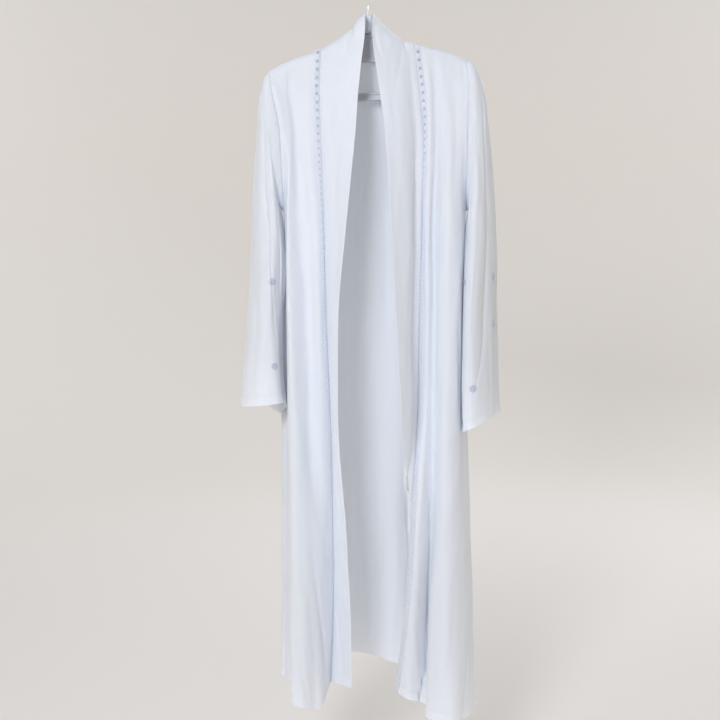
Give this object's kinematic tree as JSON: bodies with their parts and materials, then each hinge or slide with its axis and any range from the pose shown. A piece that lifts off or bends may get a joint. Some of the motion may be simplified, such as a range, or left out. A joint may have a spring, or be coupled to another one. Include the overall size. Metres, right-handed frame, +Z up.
{
  "type": "kaftan jacket on a hanger",
  "caption": "Long open-front kaftan jacket of pale cloth, with beaded braids beside its front bands and small rosettes on wide sleeves, hanging on a moulded hanger with a wire hook.",
  "frame": {"origin": "inside top of the hook, where the rail carries the hanger", "axes": "+Z up along the hanging cloth, -Y to the front of the jacket, +X to the viewer's right, which is the wearer's left"},
  "size_m": [0.5393, 0.2227, 1.4219],
  "materials": {
    "cloth": "soft blue-white crepe with a slight sheen",
    "braid": "narrow braid with small beads",
    "motif": "lilac-grey stitched rosettes",
    "plastic": "light grey moulded plastic, satin",
    "steel": "bright wire"
  },
  "bodies": {
    "root": {"back": "cloth", "front_right": "cloth", "front_left": "cloth", "band_right": "cloth", "band_left": "cloth", "sleeve_right": "cloth", "sleeve_left": "cloth", "trim_right": "braid", "trim_left": "braid", "motif_right_1": "motif", "motif_right_2": "motif", "motif_right_3": "motif", "motif_right_4": "motif", "motif_right_5": "motif", "motif_right_6": "motif", "motif_left_1": "motif", "motif_left_2": "motif", "motif_left_3": "motif", "motif_left_4": "motif", "motif_left_5": "motif", "motif_left_6": "motif", "motif_left_7": "motif", "hanger_body": "plastic", "hanger_bar": "plastic", "hanger_post_right": "plastic", "hanger_post_left": "plastic", "hanger_socket": "steel", "hanger_hook": "steel"}
  },
  "joints": []
}
